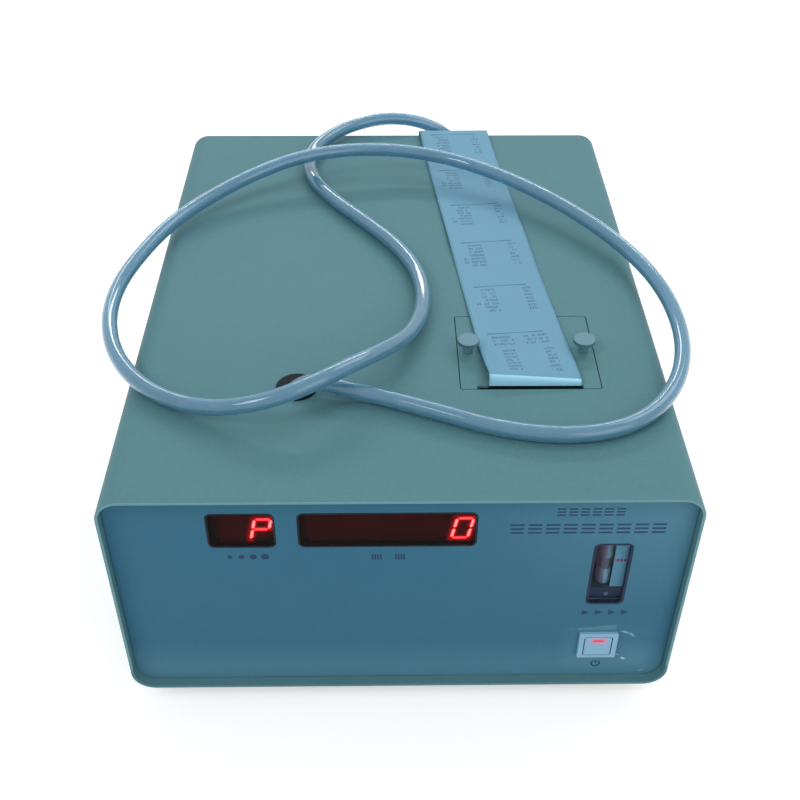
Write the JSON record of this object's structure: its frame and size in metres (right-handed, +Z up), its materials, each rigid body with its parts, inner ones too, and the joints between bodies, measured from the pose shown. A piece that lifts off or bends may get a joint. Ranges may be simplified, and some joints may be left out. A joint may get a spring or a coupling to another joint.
{
  "type": "airborne particle counter",
  "caption": "Bench airborne particle counter: folded case with recessed display panel, flow meter, strip printer hatch on top and a long clear sampling tube.",
  "frame": {"origin": "on the standing surface under the middle of the case, feet at Z = 0", "axes": "+X to the right seen from the front, +Y to the back, +Z up; the front panel faces -Y"},
  "size_m": [0.2988, 0.415, 0.1642],
  "materials": {
    "case_paint": "fine matt grey-green powder coat",
    "panel_paint": "satin blue-grey",
    "rear_paint": "satin grey-green",
    "screw_steel": "zinc plated",
    "thumb_nickel": "nickel plated, satin",
    "foot_rubber": "moulded",
    "grommet_rubber": "moulded, slightly shiny",
    "tube_clear": "clear flexible plastic",
    "paper_white": "thermal paper",
    "window_red": "dark red tinted acrylic",
    "window_clear": "clear acrylic",
    "display_black": "moulded",
    "segment_lit": "lit red",
    "segment_dark": "unlit red lens",
    "board_green": "solder mask",
    "component_black": "moulded",
    "brass": "turned",
    "meter_dark": "dark moulded",
    "meter_glass": "clear",
    "float_dark": "turned",
    "scale_pale": "printed plate",
    "switch_white": "moulded",
    "lamp_red": "lit red lens",
    "printer_black": "moulded",
    "roller_rubber": "ground",
    "gear_white": "acetal",
    "motor_steel": "plated can",
    "alloy": "milled, clear anodised",
    "inlet_black": "moulded",
    "core_steel": "varnished laminations",
    "coil_tape": "yellow tape",
    "filter_white": "moulded",
    "hose_clear": "silicone"
  },
  "bodies": {
    "case": {"air_filter": "filter_white", "air_pump": "component_black", "base_tray": "case_paint", "board_components": "component_black", "board_standoffs": "brass", "case_screws": "screw_steel", "count_display": "display_black", "count_window": "window_red", "display_board": "board_green", "display_standoffs": "brass", "exhaust_spigot": "brass", "flow_window": "window_clear", "flowmeter_adjuster": "brass", "flowmeter_body": "meter_dark", "flowmeter_scale": "scale_pale", "flowmeter_tube": "meter_glass", "foot_screws": "screw_steel", "front_panel": "panel_paint", "hose_filter_to_meter": "hose_clear", "hose_meter_to_exhaust": "hose_clear", "hose_pump_to_filter": "hose_clear", "hose_sensor_to_pump": "hose_clear", "inlet_pins": "brass", "inlet_spigot": "brass", "laser_module": "brass", "lit_segments": "segment_lit", "main_board": "board_green", "mains_inlet": "inlet_black", "optical_sensor": "alloy", "paper_strip": "paper_white", "photodetector": "component_black", "print_head": "alloy", "printer_chassis": "printer_black", "printer_hatch": "case_paint", "printer_motor": "motor_steel", "pump_motor": "motor_steel", "rear_panel": "rear_paint", "rubber_feet": "foot_rubber", "sampling_tube": "tube_clear", "sensor_stand": "alloy", "size_display": "display_black", "size_window": "window_red", "switch_body": "switch_white", "switch_terminals": "brass", "transformer_coil": "coil_tape", "transformer_core": "core_steel", "tube_grommet": "grommet_rubber", "unlit_segments": "segment_dark", "upper_cover": "case_paint"},
    "left_thumb_screw": {"thumb_screw_left": "thumb_nickel"},
    "right_thumb_screw": {"thumb_screw_right": "thumb_nickel"},
    "platen": {"platen_roller": "roller_rubber", "platen_gear": "gear_white"},
    "pinion": {"motor_pinion": "brass"},
    "roll": {"paper_roll": "paper_white", "roll_spindle": "gear_white"},
    "float": {"flowmeter_float": "float_dark"},
    "power_button": {"switch_button": "switch_white", "switch_lamp": "lamp_red"},
    "fuse_holder": {"fuse_drawer": "inlet_black"}
  },
  "joints": [
    {"name": "left_thumb_screw_turn", "type": "hinge", "parent": "case", "child": "left_thumb_screw", "pos_m": [0.03465, -0.0647, 0.14], "axis": [0, 0, 1], "continuous": true},
    {"name": "right_thumb_screw_turn", "type": "hinge", "parent": "case", "child": "right_thumb_screw", "pos_m": [0.09225, -0.0647, 0.14], "axis": [0, 0, 1], "continuous": true},
    {"name": "platen_turn", "type": "hinge", "parent": "case", "child": "platen", "pos_m": [0.06345, -0.08705, 0.119], "axis": [1, 0, 0], "continuous": true},
    {"name": "pinion_turn", "type": "hinge", "parent": "case", "child": "pinion", "pos_m": [0.09085, -0.08705, 0.1064], "axis": [1, 0, 0], "continuous": true},
    {"name": "roll_turn", "type": "hinge", "parent": "case", "child": "roll", "pos_m": [0.06345, -0.058, 0.108], "axis": [1, 0, 0], "continuous": true},
    {"name": "float_rise", "type": "slide", "parent": "case", "child": "float", "axis": [0, 0, 1], "range_m": [-0.0095, 0.0195]},
    {"name": "power_button_press", "type": "slide", "parent": "case", "child": "power_button", "axis": [0, 1, 0], "range_m": [-0.0015, 0.001]},
    {"name": "fuse_drawer_pull", "type": "slide", "parent": "case", "child": "fuse_holder", "axis": [0, 1, 0], "range_m": [0, 0.017]}
  ],
  "couplings": [
    {"joint": "pinion_turn", "follows": "platen_turn", "ratio": -2.5},
    {"joint": "roll_turn", "follows": "platen_turn", "ratio": 0.27778}
  ]
}
